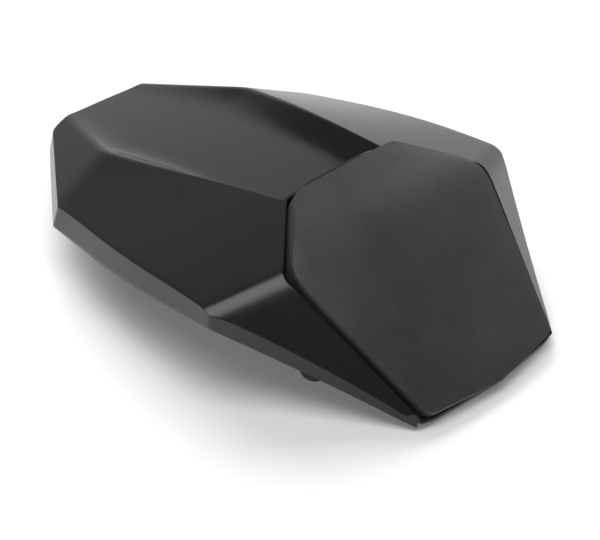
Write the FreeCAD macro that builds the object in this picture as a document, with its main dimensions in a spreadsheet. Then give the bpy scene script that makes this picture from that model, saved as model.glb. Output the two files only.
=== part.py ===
import FreeCAD, Part
import Sketcher
import math
import os
import re
from FreeCAD import Vector

# Rear seat cowl of a motorcycle: a moulded shell with a backrest pad in its front.
# X is across the cowl, -Y is forward, towards the rider, and Z is up. Millimetres and degrees.

doc = FreeCAD.newDocument("seat_cowl")
sheet = doc.addObject("Spreadsheet::Sheet", "Sizes")
sheetRow = 0


def size(alias, number):
    """Writes one driving size into the sheet and reads it back from there."""
    global sheetRow
    sheetRow += 1
    cell = "B%d" % sheetRow
    sheet.set("A%d" % sheetRow, alias)
    sheet.set(cell, "%g" % number)
    sheet.setAlias(cell, alias)
    return float(sheet.getContents(cell))


# Plan outline at the outer edge of the deck, right half
wing_x = size("wing_x", 126.0)
wing_y = size("wing_y", 100.0)
front_corner_x = size("front_corner_x", 60.5)
front_corner_y = size("front_corner_y", 2.5)
rear_corner_x = size("rear_corner_x", 106.0)
rear_corner_y = size("rear_corner_y", 264.0)
tail_corner_x = size("tail_corner_x", 45.5)
tail_corner_y = size("tail_corner_y", 349.5)
tail_corner_height = size("tail_corner_height", 48.0)
side_bow = size("side_bow", 6.0)
tail_bow = size("tail_bow", 1.0)
corner_radius = size("corner_radius", 5.5)
tail_radius = size("tail_radius", 9.0)

# Side deck: height at its outer edge and sideways slope at three stations along the length
deck_front_edge = size("deck_front_edge", 65.8)
deck_middle_edge = size("deck_middle_edge", 60.8)
deck_rear_edge = size("deck_rear_edge", 51.0)
deck_front_slope = size("deck_front_slope", 16.7)
deck_middle_slope = size("deck_middle_slope", 17.8)
deck_rear_slope = size("deck_rear_slope", 23.3)
deck_middle_x = size("deck_middle_x", 118.4)
deck_middle_y = size("deck_middle_y", 187.0)

# Ridges either side of the sunk channel
ridge_front_x = size("ridge_front_x", 42.0)
ridge_front_y = size("ridge_front_y", 125.0)
ridge_bend_x = size("ridge_bend_x", 61.4)
ridge_bend_y = size("ridge_bend_y", 271.3)
ridge_tail_x = size("ridge_tail_x", 36.6)
ridge_tail_y = size("ridge_tail_y", 345.0)
tail_height = size("tail_height", 53.1)
channel_front_height = size("channel_front_height", 70.8)
channel_middle_height = size("channel_middle_height", 65.9)
channel_front_angle = size("channel_front_angle", 31.0)
channel_bend_angle = size("channel_bend_angle", 64.0)
channel_tail_angle = size("channel_tail_angle", 76.0)
channel_tail_step = size("channel_tail_step", 0.8)
channel_corner_radius = size("channel_corner_radius", 2.0)
ridge_radius = size("ridge_radius", 14.0)

# Front wings and their soft creases
shoulder_x = size("shoulder_x", 85.0)
shoulder_y = size("shoulder_y", 81.0)
wing_foot_x = size("wing_foot_x", 65.0)
wing_foot_y = size("wing_foot_y", 9.4)
wing_foot_height = size("wing_foot_height", 11.6)
wing_crease_radius = size("wing_crease_radius", 18.0)
rear_crease_radius = size("rear_crease_radius", 60.0)

# Backrest surface: two planes that meet in a crosswise bend
pad_bend_y = size("pad_bend_y", 87.0)
pad_bend_height = size("pad_bend_height", 82.1)
pad_upper_angle = size("pad_upper_angle", 12.4)
pad_lower_angle = size("pad_lower_angle", 41.6)
pad_pull_angle = size("pad_pull_angle", 30.0)
rim_corner_x = size("rim_corner_x", 86.5)
rim_corner_y = size("rim_corner_y", 82.6)
rim_foot_x = size("rim_foot_x", 58.0)
rim_foot_y = size("rim_foot_y", 1.2)
rim_radius = size("rim_radius", 10.0)
recess_depth = size("recess_depth", 12.0)

# Lower edge of the band, seen from the side
edge_front_height = size("edge_front_height", 3.2)
edge_peak_height = size("edge_peak_height", 54.1)
edge_rear_height = size("edge_rear_height", 37.4)
edge_tail_height = size("edge_tail_height", 33.0)
band_flare = size("band_flare", 17.0)
band_flare_front = size("band_flare_front", 5.0)

wall = size("wall", 2.5)

# Backrest pad and its board
shelf_y = size("shelf_y", 14.0)
shelf_height = size("shelf_height", 6.0)
front_bow = size("front_bow", 7.0)
pad_foot_y = size("pad_foot_y", 0.5)
pad_foot_bow = size("pad_foot_bow", 7.0)
pad_crown = size("pad_crown", 6.0)
pad_gap = size("pad_gap", 2.5)
pad_proud = size("pad_proud", 1.5)
pad_corner_radius = size("pad_corner_radius", 9.0)
pad_shoulder_radius = size("pad_shoulder_radius", 16.0)
board_inset = size("board_inset", 2.0)
board_thickness = size("board_thickness", 4.0)
seat_clearance = size("seat_clearance", 0.3)

# Screws, washers and tee nuts that hold the board
pad_screw_radius = size("pad_screw_radius", 2.5)
pad_screw_head_radius = size("pad_screw_head_radius", 4.5)
pad_screw_head_height = size("pad_screw_head_height", 2.8)
pad_screw_low_x = size("pad_screw_low_x", 36.0)
pad_screw_low_y = size("pad_screw_low_y", 36.0)
pad_screw_high_x = size("pad_screw_high_x", 30.0)
pad_screw_high_y = size("pad_screw_high_y", 110.0)
washer_radius = size("washer_radius", 7.5)
washer_thickness = size("washer_thickness", 1.2)
tee_flange_radius = size("tee_flange_radius", 8.0)
tee_flange_thickness = size("tee_flange_thickness", 1.2)
tee_barrel_radius = size("tee_barrel_radius", 3.6)
tee_lift = size("tee_lift", 0.4)
thread_clearance = size("thread_clearance", 0.05)
hole_clearance = size("hole_clearance", 0.4)

# Tray under the shell
pan_gap = size("pan_gap", 1.0)
pan_lift = size("pan_lift", 1.5)
pan_thickness = size("pan_thickness", 2.5)
pan_front_y = size("pan_front_y", 50.0)
pan_rim_height = size("pan_rim_height", 7.0)
rib_thickness = size("rib_thickness", 2.0)
rib_depth = size("rib_depth", 6.0)
rib_spacing = size("rib_spacing", 40.0)
rib_reach = size("rib_reach", 62.0)
rib_rear_y = size("rib_rear_y", 250.0)
tongue_x = size("tongue_x", 36.0)
tongue_width = size("tongue_width", 24.0)
tongue_length = size("tongue_length", 28.0)
tongue_thickness = size("tongue_thickness", 4.0)
gusset_length = size("gusset_length", 24.0)

# Screws from the tray into the shell's bosses
boss_radius = size("boss_radius", 6.0)
pan_screw_radius = size("pan_screw_radius", 2.0)
pan_screw_length = size("pan_screw_length", 13.0)
pan_screw_head_radius = size("pan_screw_head_radius", 5.0)
pan_screw_head_height = size("pan_screw_head_height", 2.6)
boss_front_x = size("boss_front_x", 102.0)
boss_front_y = size("boss_front_y", 122.0)
boss_rear_x = size("boss_rear_x", 80.0)
boss_rear_y = size("boss_rear_y", 250.0)

# Rubber feet under the tray
foot_radius = size("foot_radius", 8.0)
foot_height = size("foot_height", 14.0)
foot_chamfer = size("foot_chamfer", 1.5)
foot_stem_radius = size("foot_stem_radius", 3.0)
foot_cap_radius = size("foot_cap_radius", 3.8)
foot_cap_height = size("foot_cap_height", 2.0)
foot_front_inset = size("foot_front_inset", 15.0)
foot_front_y = size("foot_front_y", 57.5)
foot_rear_x = size("foot_rear_x", 84.0)
foot_rear_y = size("foot_rear_y", 222.0)

# Latch striker: tower of the tray, plate, hoop, bolts and nuts
striker_y = size("striker_y", 288.0)
tower_height = size("tower_height", 27.0)
tower_floor = size("tower_floor", 3.0)
plate_width = size("plate_width", 64.0)
plate_length = size("plate_length", 38.0)
plate_thickness = size("plate_thickness", 2.5)
plate_corner_radius = size("plate_corner_radius", 5.0)
plate_margin = size("plate_margin", 3.0)
hoop_rod_radius = size("hoop_rod_radius", 3.5)
hoop_leg_x = size("hoop_leg_x", 12.0)
hoop_bend_radius = size("hoop_bend_radius", 7.0)
bolt_x = size("bolt_x", 24.0)
bolt_radius = size("bolt_radius", 3.0)
bolt_head_radius = size("bolt_head_radius", 5.8)
bolt_head_height = size("bolt_head_height", 4.0)
bolt_length = size("bolt_length", 14.0)
nut_height = size("nut_height", 5.0)

# Construction: how far shapes run past the part and cuts past a face, and the least rounding
overrun = size("overrun", 40.0)
cut_over = size("cut_over", 1.0)
least_radius = size("least_radius", 1.0)
DECK_SECTIONS = 6
CORNER_ROOM = 0.48
CROWN_STEP = 0.8
LENGTH = wing_x + tail_corner_y
REACH = 2.0 * LENGTH

doc.recompute()


def tan(degrees):
    return math.tan(math.radians(degrees))


def sin(degrees):
    return math.sin(math.radians(degrees))


def cos(degrees):
    return math.cos(math.radians(degrees))


def mirrored(shape):
    return shape.mirror(Vector(0, 0, 0), Vector(1, 0, 0))


def through_three(y, stations):
    """Value at y of the parabola through three (y, value) stations."""
    total = 0.0
    for i, (yi, vi) in enumerate(stations):
        term = vi
        for j, (yj, vj) in enumerate(stations):
            if j != i:
                term *= (y - yj) / (yi - yj)
        total += term
    return total


def deck_slope(y):
    return through_three(y, [(wing_y, tan(deck_front_slope)),
                             (deck_middle_y, tan(deck_middle_slope)),
                             (rear_corner_y, tan(deck_rear_slope))])


def deck_centre(y):
    """Height of the side deck where it would cross the middle plane."""
    return through_three(y, [(wing_y, deck_front_edge + wing_x * tan(deck_front_slope)),
                             (deck_middle_y, deck_middle_edge + deck_middle_x * tan(deck_middle_slope)),
                             (rear_corner_y, deck_rear_edge + rear_corner_x * tan(deck_rear_slope))])


def deck_height(x, y):
    return deck_centre(y) - deck_slope(y) * x


def below_plane(p, q, r, inset):
    """Everything under the plane through three points, lowered by inset along its normal."""
    normal = (q - p).cross(r - p)
    normal.normalize()
    if normal.z < 0:
        normal = normal * -1.0
    block = Part.makeBox(2 * REACH, 2 * REACH, REACH, Vector(-REACH, -REACH, -REACH))
    block.Placement = FreeCAD.Placement(p - normal * inset, FreeCAD.Rotation(Vector(0, 0, 1), normal))
    return block


def edge_through(shape, p, q):
    """The edge of shape that runs nearest to the line from p to q."""
    def distance(edge):
        return max(edge.distToShape(Part.Vertex(point))[0] for point in (p, q, (p + q) * 0.5))
    return min(shape.Edges, key=distance)


def side_form(inset):
    """What lies under the right side deck, front wing and rear facet."""
    sections = []
    far = wing_x + overrun
    for k in range(DECK_SECTIONS):
        y = -overrun + k * (tail_corner_y + 2 * overrun) / (DECK_SECTIONS - 1)
        drop = inset * math.hypot(1.0, deck_slope(y))
        top = [Vector(-far, y, deck_height(-far, y) - drop), Vector(far, y, deck_height(far, y) - drop)]
        foot = [Vector(far, y, -overrun), Vector(-far, y, -overrun)]
        sections.append(Part.makePolygon(top + foot + [top[0]]))
    deck = Part.makeLoft(sections, True, False)
    shoulder = Vector(shoulder_x, shoulder_y, deck_height(shoulder_x, shoulder_y))
    wing = Vector(wing_x, wing_y, deck_height(wing_x, wing_y))
    foot = Vector(wing_foot_x, wing_foot_y, wing_foot_height)
    bend = Vector(ridge_bend_x, ridge_bend_y, deck_height(ridge_bend_x, ridge_bend_y))
    corner = Vector(rear_corner_x, rear_corner_y, deck_height(rear_corner_x, rear_corner_y))
    tail = Vector(ridge_tail_x, ridge_tail_y, tail_height)
    down = Vector(0, 0, -inset)
    form = deck.common(below_plane(foot, wing, shoulder, inset))
    form = form.makeFillet(wing_crease_radius - inset, [edge_through(form, shoulder + down, wing + down)])
    form = form.common(below_plane(bend, corner, tail, inset))
    form = form.makeFillet(rear_crease_radius - inset, [edge_through(form, bend + down, corner + down)])
    return form


def edge_height(y):
    """Height of the band's lower edge at y, as straight runs seen from the side."""
    runs = [(front_corner_y, edge_front_height), (wing_y, edge_peak_height),
            (rear_corner_y, edge_rear_height), (tail_corner_y, edge_tail_height)]
    for (ya, za), (yb, zb) in zip(runs, runs[1:]):
        if y <= yb or yb == tail_corner_y:
            return za + (zb - za) * (y - ya) / (yb - ya)


def moved(points, amounts):
    """Corners of a closed anticlockwise outline, each moved outwards square to its two sides."""
    result = []
    for i, point in enumerate(points):
        before = (point - points[i - 1]).normalize()
        after = (points[(i + 1) % len(points)] - point).normalize()
        first = Vector(before.y, -before.x, 0)
        second = Vector(after.y, -after.x, 0)
        miter = (first + second) * (1.0 / (1.0 + first.dot(second)))
        result.append(point + miter * amounts[i])
    return result


def rounded(points, radii):
    """Closed wire with an arc at every corner; a radius is limited by the sides beside it."""
    pieces = []
    starts = []
    ends = []
    for i, point in enumerate(points):
        towards_last = points[i - 1] - point
        towards_next = points[(i + 1) % len(points)] - point
        turn = math.pi - towards_last.getAngle(towards_next)
        room = CORNER_ROOM * min(towards_last.Length, towards_next.Length)
        reach = min(room, radii[i] * math.tan(turn / 2))
        radius = reach / math.tan(turn / 2)
        start = point + towards_last.normalize() * reach
        end = point + towards_next.normalize() * reach
        inwards = (towards_last + towards_next).normalize()
        middle = point + inwards * (radius / math.cos(turn / 2) - radius)
        starts.append(start)
        ends.append(end)
        pieces.append(Part.Arc(start, middle, end).toShape())
    edges = []
    for i in range(len(points)):
        edges.append(pieces[i])
        edges.append(Part.LineSegment(ends[i], starts[(i + 1) % len(points)]).toShape())
    return Part.Wire(edges)


def both_sides(right, middle=()):
    """Right half of an outline, any points on the middle plane, and the left half."""
    left = [Vector(-point.x, point.y, point.z) for point in reversed(right)]
    return list(right) + list(middle) + left


def both_values(right, middle=()):
    return list(right) + list(middle) + list(reversed(right))


def plan_form(inset):
    """What lies inside the band all round; the band flares outwards towards its lower edge."""
    along = Vector(rear_corner_x - wing_x, rear_corner_y - wing_y, 0).normalize()
    side = Vector(wing_x, wing_y, 0) + along * (rear_corner_y - wing_y) * 0.5
    side = side + Vector(along.y, -along.x, 0) * side_bow
    right = [Vector(front_corner_x, front_corner_y, 0), Vector(wing_x, wing_y, 0), side,
             Vector(rear_corner_x, rear_corner_y, 0), Vector(tail_corner_x, tail_corner_y, 0)]
    outline = both_sides(right, [Vector(0, tail_corner_y + tail_bow, 0)])
    outline.append(Vector(0, front_corner_y - front_bow, 0))
    huge = 100.0 * wing_x
    radii = both_values([corner_radius, corner_radius, huge, corner_radius, tail_radius], [huge]) + [huge]
    radii = [max(radius - inset, least_radius) for radius in radii]
    rates = both_values([tan(band_flare_front), 0.0, tan(band_flare) / 2, tan(band_flare), tan(band_flare)],
                        [tan(band_flare)]) + [0.0]
    heights = both_values([wing_foot_height, deck_height(wing_x, wing_y), deck_height(side.x, side.y),
                           deck_height(rear_corner_x, rear_corner_y), tail_corner_height],
                          [tail_height]) + [0.0]
    wires = []
    for z in (-overrun, ridge_front_y):
        amounts = [rate * (height - z) - inset for rate, height in zip(rates, heights)]
        wire = rounded(moved(outline, amounts), radii)
        wire.translate(Vector(0, 0, z))
        wires.append(wire)
    return Part.makeLoft(wires, True, True)


def offset_run(points, distance):
    """Open run of straight lines in the side view, moved up square to itself."""
    result = []
    for i, point in enumerate(points):
        normals = []
        for a, b in ((i - 1, i), (i, i + 1)):
            if a >= 0 and b < len(points):
                along = (points[b] - points[a]).normalize()
                normals.append(Vector(0, -along.z, along.y))
        miter = (normals[0] + normals[-1]) * (1.0 / (1.0 + normals[0].dot(normals[-1])))
        result.append(point + miter * distance)
    return result


def side_slab(lower, upper, half_width):
    """Solid between two runs of the side view, lower and upper, across the width."""
    outline = list(lower) + list(reversed(upper))
    face = Part.Face(Part.makePolygon(outline + [outline[0]]))
    face.translate(Vector(-half_width, 0, 0))
    return face.extrude(Vector(2 * half_width, 0, 0))


def below_run(run, half_width=REACH):
    """Solid under a run of the side view."""
    deep = [Vector(0, point.y, -REACH) for point in run]
    return side_slab([deep[0], deep[-1]], run, half_width)


def above_run(run, half_width=REACH):
    """Solid over a run of the side view."""
    return side_slab(run, [Vector(0, run[0].y, REACH), Vector(0, run[-1].y, REACH)], half_width)


def pad_height(y):
    """Height of the rim plane round the pad at y."""
    angle = pad_upper_angle if y > pad_bend_y else pad_lower_angle
    return pad_bend_height + (y - pad_bend_y) * tan(angle)


def below_crown(lift):
    """Everything under the backrest's surface, which is crowned across the cowl."""
    sections = []
    for k in range(-2, 3):
        share = k * CROWN_STEP
        run = rim_run(lift + pad_crown * (1.0 - share * share))
        outline = run + [Vector(0, run[-1].y, -REACH), Vector(0, run[0].y, -REACH)]
        section = Part.makePolygon(outline + [outline[0]])
        section.translate(Vector(share * rim_corner_x, 0, 0))
        sections.append(section)
    return Part.makeLoft(sections, True, False)


def rim_run(lift):
    """Side view of the rim plane round the pad, raised square to itself."""
    run = [Vector(0, y, pad_height(y)) for y in (-LENGTH, pad_bend_y, LENGTH)]
    return offset_run(run, lift)


def recess_run(lift):
    """Side view of the recess floor: upper and lower plane and the shelf at the foot."""
    back = Vector(0, recess_depth * sin(pad_pull_angle), -recess_depth * cos(pad_pull_angle))
    bend = Vector(0, pad_bend_y, pad_bend_height) + back
    rear = bend + Vector(0, LENGTH, LENGTH * tan(pad_upper_angle))
    shelf = Vector(0, shelf_y, shelf_height)
    return offset_run([Vector(0, -LENGTH, shelf_height), shelf, bend, rear], lift)


def pad_frame(x, y, z=None):
    """Point of the rim plane as seen along the way the pad pulls out of its recess."""
    if z is None:
        z = pad_height(y)
    return Vector(x, y * cos(pad_pull_angle) + z * sin(pad_pull_angle), 0)


def along_pull(wire):
    """Prism of an outline drawn in the pad's frame."""
    face = Part.Face(wire)
    face.translate(Vector(0, 0, -REACH))
    prism = face.extrude(Vector(0, 0, 2 * REACH))
    prism.rotate(Vector(0, 0, 0), Vector(1, 0, 0), pad_pull_angle)
    return prism


def recess_outline():
    corner = pad_frame(rim_corner_x, rim_corner_y)
    foot = pad_frame(rim_foot_x, rim_foot_y)
    below = foot + (foot - corner).normalize() * overrun
    top = pad_frame(ridge_front_x, ridge_front_y)
    return both_sides([below, corner, top])


def recess_form(outset):
    """Space of the pad recess, with walls, floor and shelf moved outwards by outset."""
    radii = both_values([least_radius, rim_radius + outset, least_radius + outset])
    outline = rounded(moved(recess_outline(), [outset] * 6), radii)
    return along_pull(outline).common(above_run(recess_run(-outset)))


def ridge_point(x, y):
    return Vector(x, y, deck_height(x, y))


def channel_form(outset):
    """Space over the sunk channel floor; its walls lean back more and more towards the tail."""
    front = ridge_point(ridge_front_x, ridge_front_y)
    bend = ridge_point(ridge_bend_x, ridge_bend_y)
    tail = Vector(ridge_tail_x, ridge_tail_y, tail_height)
    behind = wall / cos(pad_pull_angle)
    start = front + (bend - front) * (behind / (bend.y - front.y))
    beyond = tail + (tail - bend) * 0.5
    right = [start, bend, tail, beyond]
    outline = both_sides([Vector(point.x, point.y, 0) for point in right])
    heights = both_values([point.z for point in right])
    angles = both_values([channel_front_angle, channel_bend_angle, channel_tail_angle, channel_tail_angle])
    radii = both_values([channel_corner_radius, ridge_radius, channel_corner_radius, channel_corner_radius])
    wires = []
    for z in (tail_height - channel_tail_step - 2 * wall, deck_centre(ridge_front_y)):
        amounts = []
        for height, angle in zip(heights, angles):
            amounts.append(outset / cos(angle) - (height - z) * tan(angle))
        wire = rounded(moved(outline, amounts), radii)
        wire.translate(Vector(0, 0, z))
        wires.append(wire)
    walls = Part.makeLoft(wires, True, True)
    middle_y = 0.5 * (ridge_front_y + tail_corner_y)
    ends = [Vector(0, ridge_front_y, channel_front_height), Vector(0, middle_y, channel_middle_height),
            Vector(0, tail_corner_y + tail_bow, tail_height - channel_tail_step)]
    ends = [point - Vector(0, 0, outset) for point in ends]
    arc = Part.Arc(ends[0], ends[1], ends[2])
    lead = ends[0] - arc.tangent(arc.FirstParameter)[0].normalize() * overrun
    follow = ends[2] + arc.tangent(arc.LastParameter)[0].normalize() * 2 * overrun
    edges = [Part.LineSegment(lead, ends[0]).toShape(), arc.toShape(),
             Part.LineSegment(ends[2], follow).toShape(),
             Part.LineSegment(follow, Vector(0, follow.y, REACH)).toShape(),
             Part.LineSegment(Vector(0, follow.y, REACH), Vector(0, lead.y, REACH)).toShape(),
             Part.LineSegment(Vector(0, lead.y, REACH), lead).toShape()]
    floor = Part.Face(Part.Wire(edges))
    floor.translate(Vector(-REACH, 0, 0))
    return walls.common(floor.extrude(Vector(2 * REACH, 0, 0)))


def outer_form(inset):
    """The cowl's outer form as one solid, every face moved inwards by inset."""
    form = plan_form(inset)
    side = side_form(inset)
    form = form.common(side)
    form = form.common(mirrored(side))
    form = form.common(below_crown(-inset))
    return form


def band_edge_run(lift):
    """Lower edge of the band in the side view, from before the front to behind the tail."""
    points = [Vector(0, y, edge_height(y)) for y in (front_corner_y, wing_y, rear_corner_y, tail_corner_y)]
    first = Vector(0, -wing_y, edge_front_height)
    last = points[3] + (points[3] - points[2]).normalize() * overrun
    return offset_run([first] + points[:3] + [last], lift)


def add_shape(name, shape):
    """Puts a finished shape in the document as a piece of that name."""
    piece = doc.addObject("Part::Feature", name)
    piece.Shape = shape
    piece.Label = name
    return piece


def single(shape):
    """The main solid of a boolean's result."""
    return max(shape.Solids, key=lambda solid: solid.Volume)


def run_seat(run, first, x, y):
    """Placement on a straight of a run, numbered from its front, with local Z square to it."""
    a = run[first]
    b = run[first + 1]
    height = a.z + (b.z - a.z) * (y - a.y) / (b.y - a.y)
    tilt = math.degrees(math.atan2(b.z - a.z, b.y - a.y))
    return FreeCAD.Placement(Vector(x, y, height), FreeCAD.Rotation(Vector(1, 0, 0), tilt))


def both_seats(run, first, x, y):
    return [run_seat(run, first, x, y), run_seat(run, first, -x, y)]


def placed(shape, placement):
    """Copy of a shape set on a seat."""
    copy = shape.copy()
    copy.Placement = placement
    return copy


def lowered(placement, sink):
    """A seat moved down its own axis."""
    return placement * FreeCAD.Placement(Vector(0, 0, -sink), FreeCAD.Rotation())


def rod(radius, low, high, placement):
    """Cylinder along a seat's axis from low to high."""
    return placed(Part.makeCylinder(radius, high - low), lowered(placement, -low))


def hexagon_rod(radius, low, high, placement):
    """Hexagon prism along a seat's axis from low to high; radius reaches its corners."""
    corners = [Vector(radius * cos(60 * k), radius * sin(60 * k), 0) for k in range(6)]
    prism = Part.Face(Part.makePolygon(corners + [corners[0]])).extrude(Vector(0, 0, high - low))
    return placed(prism, lowered(placement, -low))


def lathe(name, profile):
    """Turned body from (radius, height) corners, each given as an expression of the sheet."""
    body = doc.addObject("PartDesign::Body", name)
    plane = [item for item in body.Origin.OriginFeatures if item.Role == "XZ_Plane"][0]
    sketch = body.newObject("Sketcher::SketchObject", name + "_profile")
    sketch.AttachmentSupport = [(plane, "")]
    sketch.MapMode = "FlatFace"
    corners = []
    for radius, height in profile:
        corners.append(Vector(float(sheet.evalExpression(radius)), float(sheet.evalExpression(height)), 0))
    for i, corner in enumerate(corners):
        sketch.addGeometry(Part.LineSegment(corner, corners[(i + 1) % len(corners)]), False)
    for i in range(len(corners)):
        sketch.addConstraint(Sketcher.Constraint("Coincident", i, 2, (i + 1) % len(corners), 1))
    for i, (radius, height) in enumerate(profile):
        bind(sketch, "DistanceX", i, corners[i].x, radius)
        bind(sketch, "DistanceY", i, corners[i].y, height)
    turn = body.newObject("PartDesign::Revolution", name + "_turn")
    turn.Profile = sketch
    turn.ReferenceAxis = (sketch, ["V_Axis"])
    turn.Angle = 360.0
    return body


def bind(sketch, kind, corner, value, expression):
    """Holds a corner at a distance from the sketch's origin, bound to the sheet."""
    index = sketch.addConstraint(Sketcher.Constraint(kind, -1, 1, corner, 1, value))
    if value:
        sketch.setExpression("Constraints[%d]" % index, re.sub("[a-z_]+", r"Sizes.\g<0>", expression))


def bound(kind, name, sizes):
    """A primitive whose sizes are expressions of the sheet."""
    piece = doc.addObject(kind, name)
    for prop, expression in sizes.items():
        piece.setExpression(prop, re.sub("[a-z_]+", r"Sizes.\g<0>", expression))
    return piece


def headed(name, head_radius, head_height, radius, length):
    """Screw with a hexagon head at its foot; the four sizes are expressions of the sheet."""
    head = bound("Part::Prism", name + "_head", {"Circumradius": head_radius, "Height": head_height})
    shank = bound("Part::Cylinder", name + "_shank",
                  {"Radius": radius, "Height": head_height + " + " + length})
    screw = doc.addObject("Part::MultiFuse", name + "_blank")
    screw.Shapes = [head, shank]
    return screw


def bored(name, blank, radius, height):
    """A blank with a bore along its axis; both sizes are expressions of the sheet."""
    cut = doc.addObject("Part::Cut", name + "_blank")
    cut.Base = blank
    cut.Tool = bound("Part::Cylinder", name + "_bore", {"Radius": radius, "Height": height})
    return cut


def group(name, blank, placements):
    """One node with a copy of the blank on each placement."""
    doc.recompute()
    return add_shape(name, Part.makeCompound([placed(blank.Shape, placement) for placement in placements]))


def upright(x, z):
    """Placement square to the floor on the striker's line."""
    return FreeCAD.Placement(Vector(x, striker_y, z), FreeCAD.Rotation())


# Where fasteners and feet sit: local Z is square to the tray's underside or the recess floor
pan_run = band_edge_run(pan_lift)
floor_run = recess_run(0.0)
boss_seats = (both_seats(pan_run, 2, boss_front_x, boss_front_y)
              + both_seats(pan_run, 2, boss_rear_x, boss_rear_y))
wing_lean = (wing_x - front_corner_x) / (wing_y - front_corner_y)
foot_front_x = front_corner_x + (foot_front_y - front_corner_y) * wing_lean - foot_front_inset
foot_front_seats = both_seats(pan_run, 1, foot_front_x, foot_front_y)
foot_rear_seats = both_seats(pan_run, 2, foot_rear_x, foot_rear_y)
pad_seats = (both_seats(floor_run, 1, pad_screw_low_x, pad_screw_low_y)
             + both_seats(floor_run, 2, pad_screw_high_x, pad_screw_high_y))

# Shell: one moulding with its tub for the pad, the sunk channel and the screw bosses
tub = recess_form(wall)
mid_form = outer_form(wall / 2)
skin = outer_form(0.0).cut(channel_form(0.0)).cut(recess_form(0.0))
skin = skin.cut(below_run(band_edge_run(0.0)).cut(tub))
skin = single(skin.cut(outer_form(wall).cut(channel_form(wall)).cut(tub)))
for seat in boss_seats:
    boss = rod(boss_radius, pan_thickness, edge_peak_height, seat).common(mid_form)
    pilot = rod(pan_screw_radius + thread_clearance, 0.0, pan_screw_length + cut_over, seat)
    skin = skin.fuse(boss).cut(pilot)
for seat in pad_seats:
    skin = skin.cut(rod(pad_screw_radius + hole_clearance, -2 * wall, wall, seat))
shell = add_shape("cowl_shell", single(skin))


def pad_outline(inset):
    """Outline of the pad in its own frame, inset from the recess walls, with a bowed foot."""
    corners = moved(recess_outline(), [-inset] * 6)
    right = corners[:3]
    foot = pad_frame(0, pad_foot_y, shelf_height)
    slope = (right[1] - right[0]).normalize()
    right[0] = right[1] - slope * ((right[1].y - foot.y) / slope.y)
    middle = Vector(0, foot.y - pad_foot_bow, 0)
    outline = both_sides(right)
    outline.append(middle)
    radii = both_values([pad_corner_radius, pad_shoulder_radius, 0.6 * pad_corner_radius])
    return rounded(outline, radii + [100.0 * wing_x])


# Board of the pad, on the two sloped planes of the recess floor, and its tee nuts
behind_shelf = Part.makeBox(2 * REACH, REACH, 2 * REACH, Vector(-REACH, shelf_y + board_inset, -REACH))
board = along_pull(pad_outline(pad_gap + board_inset)).common(above_run(floor_run))
board = single(board.common(below_run(recess_run(board_thickness))).common(behind_shelf))
for seat in pad_seats:
    board = board.cut(rod(tee_barrel_radius + thread_clearance, 0.0, board_thickness, seat))
    pocket_floor = board_thickness - tee_flange_thickness
    pocket_top = board_thickness + cut_over
    board = board.cut(hexagon_rod(tee_flange_radius + thread_clearance, pocket_floor, pocket_top, seat))
board = add_shape("pad_board", board)

# Pad: foam under its cover, crowned across; it wraps round the board's edge
behind_shelf.translate(Vector(0, -seat_clearance, 0))
space = along_pull(pad_outline(pad_gap + board_inset - seat_clearance))
space = space.common(below_run(recess_run(board_thickness + seat_clearance))).common(behind_shelf)
pad = along_pull(pad_outline(pad_gap)).common(above_run(recess_run(seat_clearance)))
pad = add_shape("backrest_pad", single(pad.common(below_crown(pad_proud)).cut(space)))

# Tray under the shell, with its rim, ribs, front tongues and the tower of the striker
inside = outer_form(wall + pan_gap).cut(recess_form(wall + pan_gap))
behind_front = Part.makeBox(2 * REACH, REACH, 2 * REACH, Vector(-REACH, pan_front_y, -REACH))
inside = inside.common(behind_front).common(above_run(pan_run))
rim = inside.common(below_run(band_edge_run(pan_rim_height))).cut(plan_form(wall + pan_gap + pan_thickness))
tray = single(inside.common(below_run(band_edge_run(pan_lift + pan_thickness)))).fuse(rim.Solids)
bars = []
steps = int((rib_rear_y - pan_front_y) / rib_spacing)
for k in range(steps):
    y = rib_rear_y - k * rib_spacing
    bars.append(Part.makeBox(2 * rib_reach, rib_thickness, 2 * REACH, Vector(-rib_reach, y, -REACH)))
rib_length = (steps - 1) * rib_spacing + rib_thickness
for x in (-rib_reach, -rib_thickness / 2, rib_reach - rib_thickness):
    front = Vector(x, rib_rear_y + rib_thickness - rib_length, -REACH)
    bars.append(Part.makeBox(rib_thickness, rib_length, 2 * REACH, front))
depth = side_slab(band_edge_run(pan_lift - rib_depth), band_edge_run(pan_lift + pan_thickness / 2), rib_reach)
ribs = bars[0].fuse(bars[1:]).common(depth)
tray = tray.fuse(ribs)


def tongue(x):
    """Flat tongue on the floor with its upright and gusset, centred at x."""
    rear = pan_front_y + tongue_thickness
    front = pan_front_y - tongue_length
    top = edge_height(rear) + pan_lift + pan_thickness
    hook = [Vector(0, front, 0), Vector(0, rear, 0), Vector(0, rear, top), Vector(0, pan_front_y, top),
            Vector(0, pan_front_y, tongue_thickness), Vector(0, front, tongue_thickness)]
    hook = Part.Face(Part.makePolygon(hook + [hook[0]]))
    hook.translate(Vector(x - tongue_width / 2, 0, 0))
    end = rear + gusset_length
    web = [Vector(0, rear, 0), Vector(0, end, edge_height(end) + pan_thickness), Vector(0, rear, top)]
    web = Part.Face(Part.makePolygon(web + [web[0]]))
    web.translate(Vector(x - rib_thickness / 2, 0, 0))
    shape = hook.extrude(Vector(tongue_width, 0, 0)).fuse(web.extrude(Vector(rib_thickness, 0, 0)))
    return shape.cut(above_run(band_edge_run(pan_lift + pan_thickness)))


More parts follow.
